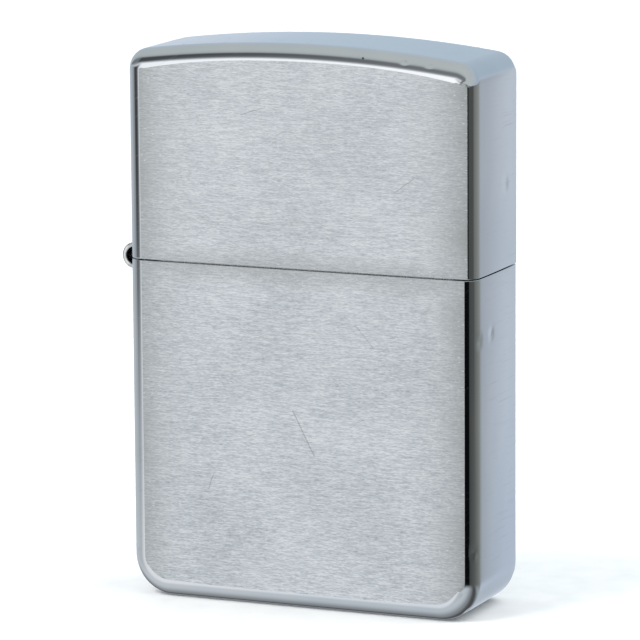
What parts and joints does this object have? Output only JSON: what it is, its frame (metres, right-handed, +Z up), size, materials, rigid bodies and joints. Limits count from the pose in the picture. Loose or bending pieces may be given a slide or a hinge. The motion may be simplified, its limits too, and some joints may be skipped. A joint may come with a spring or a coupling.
{
  "type": "flip-top windproof lighter",
  "caption": "Pocket petrol lighter with a hinged flip-top lid, a perforated wind guard, a flint wheel, a wick and a fuel insert in a brushed metal case.",
  "frame": {"origin": "centre of the flat base of the case", "axes": "+Z up along the closed lighter, +X away from the hinge towards the side that opens, wide front facing -Y"},
  "size_m": [0.0395, 0.0126, 0.0575],
  "materials": {
    "chrome_shell": "polished",
    "hinge_steel": "satin",
    "insert_steel": "satin",
    "wheel_steel": "satin",
    "spring_steel": "satin",
    "brass": "satin",
    "flint_alloy": "matte",
    "wick_cotton": "matte",
    "cotton_wadding": "matte",
    "wool_felt": "matte"
  },
  "bodies": {
    "case": {"case_bottom": "chrome_shell", "hinge_leaf_lower": "hinge_steel", "hinge_pin": "hinge_steel", "insert_casing": "insert_steel", "insert_deck": "insert_steel", "chimney": "insert_steel", "wheel_rivet": "hinge_steel", "cam_rivet": "hinge_steel", "cam_spring": "spring_steel", "cam_spring_rivet": "hinge_steel", "flint_tube": "brass", "flint_spring": "spring_steel", "flint_screw": "brass", "wick": "wick_cotton", "felt_pad": "wool_felt", "cotton_ball_1": "cotton_wadding", "cotton_ball_2": "cotton_wadding", "cotton_ball_3": "cotton_wadding", "cotton_ball_4": "cotton_wadding", "cotton_ball_5": "cotton_wadding"},
    "lid": {"case_lid": "chrome_shell", "hinge_leaf_upper": "hinge_steel"},
    "wheel": {"flint_wheel": "wheel_steel"},
    "cam": {"cam": "insert_steel"},
    "flint_feed": {"flint": "flint_alloy", "flint_spring_tip": "brass"}
  },
  "joints": [
    {"name": "lid_hinge", "type": "hinge", "parent": "case", "child": "lid", "pos_m": [-0.0191, 0, 0.0349], "axis": [0, -1, 0], "range_deg": [0, 135]},
    {"name": "flint_wheel_spin", "type": "hinge", "parent": "case", "child": "wheel", "pos_m": [0.0106, 0, 0.0458], "axis": [0, 1, 0], "continuous": true},
    {"name": "cam_pivot", "type": "hinge", "parent": "case", "child": "cam", "pos_m": [-0.0112, 0, 0.0407], "axis": [0, 1, 0], "range_deg": [0, 22], "stiffness_Nm_per_rad": 0.02},
    {"name": "flint_press", "type": "slide", "parent": "case", "child": "flint_feed", "axis": [0, 0, 1], "range_m": [-0.0015, 0], "stiffness_N_per_m": 400, "springref_m": 0.002, "deforming": ["flint_spring"]}
  ]
}
